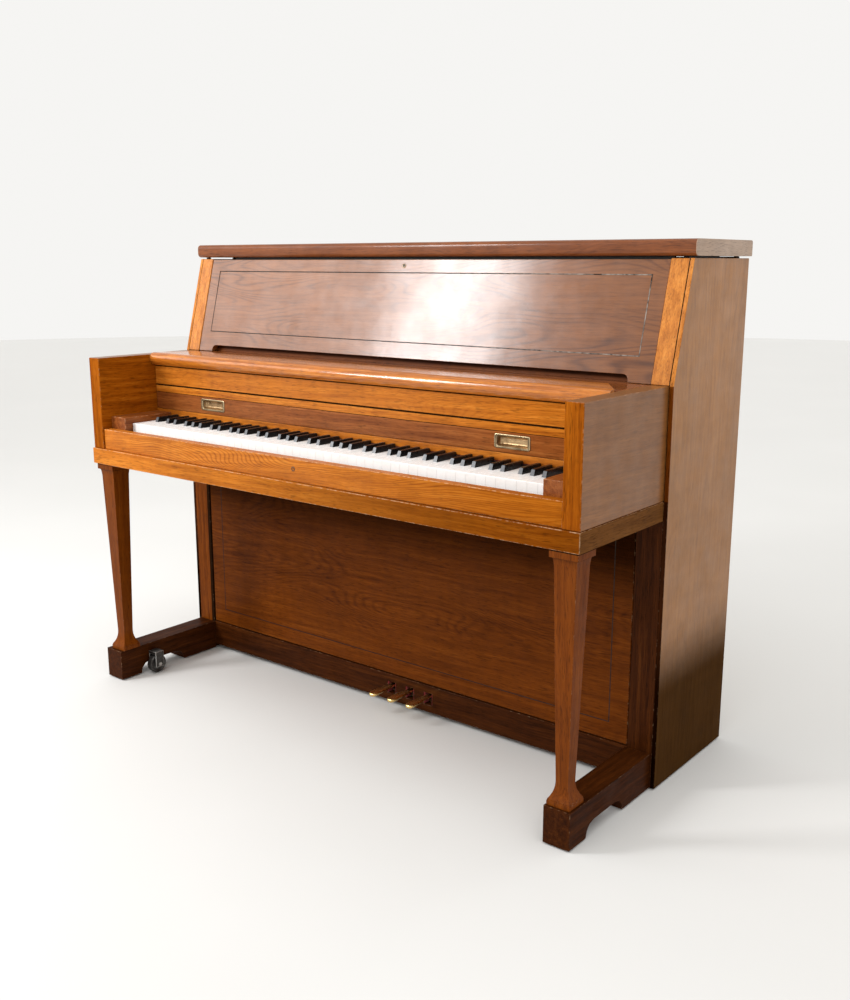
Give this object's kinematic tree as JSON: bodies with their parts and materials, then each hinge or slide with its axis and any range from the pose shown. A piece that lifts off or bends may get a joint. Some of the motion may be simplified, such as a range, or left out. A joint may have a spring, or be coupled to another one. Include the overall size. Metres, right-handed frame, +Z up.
{
  "type": "upright piano",
  "caption": "Studio upright piano in satin walnut: slanted music panel, sliding fallboard, square tapered front legs on toe blocks, brass pedals, hinged lid and wooden back.",
  "frame": {"origin": "middle of the footprint, on the floor", "axes": "+X toward the treble end, +Y toward the back, +Z up"},
  "size_m": [1.447, 0.65, 1.1175],
  "materials": {
    "case_side_left": "satin lacquered walnut veneer",
    "upper_stile_left": "satin lacquered walnut",
    "lower_stile_left": "satin lacquered walnut",
    "arm_left": "satin lacquered walnut veneer",
    "key_block_left": "satin lacquered walnut",
    "front_leg_left": "satin lacquered walnut",
    "toe_block_left": "satin lacquered walnut",
    "case_side_right": "satin lacquered walnut veneer",
    "upper_stile_right": "satin lacquered walnut",
    "lower_stile_right": "satin lacquered walnut",
    "arm_right": "satin lacquered walnut veneer",
    "key_block_right": "satin lacquered walnut",
    "front_leg_right": "satin lacquered walnut",
    "toe_block_right": "satin lacquered walnut",
    "keybed": "unfinished",
    "keybed_rim": "satin lacquered walnut",
    "key_slip": "satin lacquered walnut",
    "nameboard": "satin lacquered walnut",
    "fascia_board": "satin lacquered walnut",
    "shelf": "satin lacquered walnut",
    "music_ledge": "satin lacquered walnut",
    "upper_panel": "glossy lacquered figured walnut veneer",
    "lid_hinge": "plated piano hinge",
    "knee_panel": "glossy lacquered figured walnut veneer",
    "toe_rail": "satin lacquered walnut",
    "bottom_board": "unfinished",
    "back_frame": "unfinished",
    "soundboard": "varnished spruce",
    "iron_plate": "bronze paint",
    "action_frame": "unfinished",
    "caster_bracket_front_left": "dark painted",
    "caster_bracket_front_right": "dark painted",
    "caster_bracket_rear_left": "dark painted",
    "caster_bracket_rear_right": "dark painted",
    "lid": "glossy lacquered walnut veneer",
    "fallboard": "glossy lacquered figured walnut veneer",
    "pull_left": "aged brass",
    "pull_right": "aged brass",
    "hammer_set": "felt heads on wooden shanks",
    "bass_keys": "wooden keys with moulded tops",
    "key_c4": "wooden keys with moulded tops",
    "key_c_sharp4": "wooden keys with moulded tops",
    "key_d4": "wooden keys with moulded tops",
    "key_d_sharp4": "wooden keys with moulded tops",
    "key_e4": "wooden keys with moulded tops",
    "key_f4": "wooden keys with moulded tops",
    "key_f_sharp4": "wooden keys with moulded tops",
    "key_g4": "wooden keys with moulded tops",
    "key_g_sharp4": "wooden keys with moulded tops",
    "key_a4": "wooden keys with moulded tops",
    "key_a_sharp4": "wooden keys with moulded tops",
    "key_b4": "wooden keys with moulded tops",
    "treble_keys": "wooden keys with moulded tops",
    "pedal_left": "polished brass",
    "pedal_middle": "polished brass",
    "pedal_right": "polished brass",
    "caster_wheel_front_left": "worn dark iron",
    "caster_wheel_front_right": "worn dark iron",
    "caster_wheel_rear_left": "worn dark iron",
    "caster_wheel_rear_right": "worn dark iron"
  },
  "bodies": {
    "case": {"case_side_left": "case_side_left", "upper_stile_left": "upper_stile_left", "lower_stile_left": "lower_stile_left", "arm_left": "arm_left", "key_block_left": "key_block_left", "front_leg_left": "front_leg_left", "toe_block_left": "toe_block_left", "case_side_right": "case_side_right", "upper_stile_right": "upper_stile_right", "lower_stile_right": "lower_stile_right", "arm_right": "arm_right", "key_block_right": "key_block_right", "front_leg_right": "front_leg_right", "toe_block_right": "toe_block_right", "keybed": "keybed", "keybed_rim": "keybed_rim", "key_slip": "key_slip", "nameboard": "nameboard", "fascia_board": "fascia_board", "shelf": "shelf", "music_ledge": "music_ledge", "upper_panel": "upper_panel", "lid_hinge": "lid_hinge", "knee_panel": "knee_panel", "toe_rail": "toe_rail", "bottom_board": "bottom_board", "back_frame": "back_frame", "soundboard": "soundboard", "iron_plate": "iron_plate", "action_frame": "action_frame", "caster_bracket_front_left": "caster_bracket_front_left", "caster_bracket_front_right": "caster_bracket_front_right", "caster_bracket_rear_left": "caster_bracket_rear_left", "caster_bracket_rear_right": "caster_bracket_rear_right"},
    "lid": {"lid": "lid"},
    "fallboard": {"fallboard": "fallboard", "pull_left": "pull_left", "pull_right": "pull_right"},
    "hammer_set": {"hammer_set": "hammer_set"},
    "bass_keys": {"bass_keys": "bass_keys"},
    "key_c4": {"key_c4": "key_c4"},
    "key_c_sharp4": {"key_c_sharp4": "key_c_sharp4"},
    "key_d4": {"key_d4": "key_d4"},
    "key_d_sharp4": {"key_d_sharp4": "key_d_sharp4"},
    "key_e4": {"key_e4": "key_e4"},
    "key_f4": {"key_f4": "key_f4"},
    "key_f_sharp4": {"key_f_sharp4": "key_f_sharp4"},
    "key_g4": {"key_g4": "key_g4"},
    "key_g_sharp4": {"key_g_sharp4": "key_g_sharp4"},
    "key_a4": {"key_a4": "key_a4"},
    "key_a_sharp4": {"key_a_sharp4": "key_a_sharp4"},
    "key_b4": {"key_b4": "key_b4"},
    "treble_keys": {"treble_keys": "treble_keys"},
    "pedal_left": {"pedal_left": "pedal_left"},
    "pedal_middle": {"pedal_middle": "pedal_middle"},
    "pedal_right": {"pedal_right": "pedal_right"},
    "caster_wheel_front_left": {"caster_wheel_front_left": "caster_wheel_front_left"},
    "caster_wheel_front_right": {"caster_wheel_front_right": "caster_wheel_front_right"},
    "caster_wheel_rear_left": {"caster_wheel_rear_left": "caster_wheel_rear_left"},
    "caster_wheel_rear_right": {"caster_wheel_rear_right": "caster_wheel_rear_right"}
  },
  "joints": [
    {"name": "lid_hinge_turn", "type": "hinge", "parent": "case", "child": "lid", "pos_m": [0, 0.3215, 1.0817], "axis": [-1, 0, 0], "range_deg": [0, 92]},
    {"name": "fallboard_slide", "type": "slide", "parent": "case", "child": "fallboard", "axis": [0, -1, 0], "range_m": [0, 0.145]},
    {"name": "bass_keys_dip", "type": "hinge", "parent": "case", "child": "bass_keys", "pos_m": [0, -0.05, 0.657], "axis": [1, 0, 0], "range_deg": [0, 2.4], "stiffness_Nm_per_rad": 96, "springref_deg": -6.88},
    {"name": "key_c4_dip", "type": "hinge", "parent": "case", "child": "key_c4", "pos_m": [0, -0.05, 0.657], "axis": [1, 0, 0], "range_deg": [0, 2.4], "stiffness_Nm_per_rad": 2.4, "springref_deg": -6.88},
    {"name": "key_c_sharp4_dip", "type": "hinge", "parent": "case", "child": "key_c_sharp4", "pos_m": [0, -0.05, 0.657], "axis": [1, 0, 0], "range_deg": [0, 2.4], "stiffness_Nm_per_rad": 2.4, "springref_deg": -6.88},
    {"name": "key_d4_dip", "type": "hinge", "parent": "case", "child": "key_d4", "pos_m": [0, -0.05, 0.657], "axis": [1, 0, 0], "range_deg": [0, 2.4], "stiffness_Nm_per_rad": 2.4, "springref_deg": -6.88},
    {"name": "key_d_sharp4_dip", "type": "hinge", "parent": "case", "child": "key_d_sharp4", "pos_m": [0, -0.05, 0.657], "axis": [1, 0, 0], "range_deg": [0, 2.4], "stiffness_Nm_per_rad": 2.4, "springref_deg": -6.88},
    {"name": "key_e4_dip", "type": "hinge", "parent": "case", "child": "key_e4", "pos_m": [0, -0.05, 0.657], "axis": [1, 0, 0], "range_deg": [0, 2.4], "stiffness_Nm_per_rad": 2.4, "springref_deg": -6.88},
    {"name": "key_f4_dip", "type": "hinge", "parent": "case", "child": "key_f4", "pos_m": [0, -0.05, 0.657], "axis": [1, 0, 0], "range_deg": [0, 2.4], "stiffness_Nm_per_rad": 2.4, "springref_deg": -6.88},
    {"name": "key_f_sharp4_dip", "type": "hinge", "parent": "case", "child": "key_f_sharp4", "pos_m": [0, -0.05, 0.657], "axis": [1, 0, 0], "range_deg": [0, 2.4], "stiffness_Nm_per_rad": 2.4, "springref_deg": -6.88},
    {"name": "key_g4_dip", "type": "hinge", "parent": "case", "child": "key_g4", "pos_m": [0, -0.05, 0.657], "axis": [1, 0, 0], "range_deg": [0, 2.4], "stiffness_Nm_per_rad": 2.4, "springref_deg": -6.88},
    {"name": "key_g_sharp4_dip", "type": "hinge", "parent": "case", "child": "key_g_sharp4", "pos_m": [0, -0.05, 0.657], "axis": [1, 0, 0], "range_deg": [0, 2.4], "stiffness_Nm_per_rad": 2.4, "springref_deg": -6.88},
    {"name": "key_a4_dip", "type": "hinge", "parent": "case", "child": "key_a4", "pos_m": [0, -0.05, 0.657], "axis": [1, 0, 0], "range_deg": [0, 2.4], "stiffness_Nm_per_rad": 2.4, "springref_deg": -6.88},
    {"name": "key_a_sharp4_dip", "type": "hinge", "parent": "case", "child": "key_a_sharp4", "pos_m": [0, -0.05, 0.657], "axis": [1, 0, 0], "range_deg": [0, 2.4], "stiffness_Nm_per_rad": 2.4, "springref_deg": -6.88},
    {"name": "key_b4_dip", "type": "hinge", "parent": "case", "child": "key_b4", "pos_m": [0, -0.05, 0.657], "axis": [1, 0, 0], "range_deg": [0, 2.4], "stiffness_Nm_per_rad": 2.4, "springref_deg": -6.88},
    {"name": "treble_keys_dip", "type": "hinge", "parent": "case", "child": "treble_keys", "pos_m": [0, -0.05, 0.657], "axis": [1, 0, 0], "range_deg": [0, 2.4], "stiffness_Nm_per_rad": 96, "springref_deg": -6.88},
    {"name": "pedal_left_press", "type": "hinge", "parent": "case", "child": "pedal_left", "pos_m": [0.005, 0.1, 0.052], "axis": [1, 0, 0], "range_deg": [0, 5.5], "stiffness_Nm_per_rad": 30, "springref_deg": -6.88},
    {"name": "pedal_middle_press", "type": "hinge", "parent": "case", "child": "pedal_middle", "pos_m": [0.062, 0.1, 0.052], "axis": [1, 0, 0], "range_deg": [0, 5.5], "stiffness_Nm_per_rad": 30, "springref_deg": -6.88},
    {"name": "pedal_right_press", "type": "hinge", "parent": "case", "child": "pedal_right", "pos_m": [0.119, 0.1, 0.052], "axis": [1, 0, 0], "range_deg": [0, 5.5], "stiffness_Nm_per_rad": 30, "springref_deg": -6.88},
    {"name": "hammer_set_tilt", "type": "hinge", "parent": "case", "child": "hammer_set", "pos_m": [0, 0.105, 0.862], "axis": [-1, 0, 0], "range_deg": [0, 10]},
    {"name": "caster_front_left_roll", "type": "hinge", "parent": "case", "child": "caster_wheel_front_left", "pos_m": [-0.6325, -0.225, 0.02479], "axis": [1, 0, 0], "continuous": true},
    {"name": "caster_front_right_roll", "type": "hinge", "parent": "case", "child": "caster_wheel_front_right", "pos_m": [0.6325, -0.225, 0.02479], "axis": [1, 0, 0], "continuous": true},
    {"name": "caster_rear_left_roll", "type": "hinge", "parent": "case", "child": "caster_wheel_rear_left", "pos_m": [-0.64, 0.272, 0.02479], "axis": [1, 0, 0], "continuous": true},
    {"name": "caster_rear_right_roll", "type": "hinge", "parent": "case", "child": "caster_wheel_rear_right", "pos_m": [0.64, 0.272, 0.02479], "axis": [1, 0, 0], "continuous": true}
  ],
  "couplings": [
    {"joint": "hammer_set_tilt", "follows": "pedal_left_press", "ratio": 1.75}
  ]
}
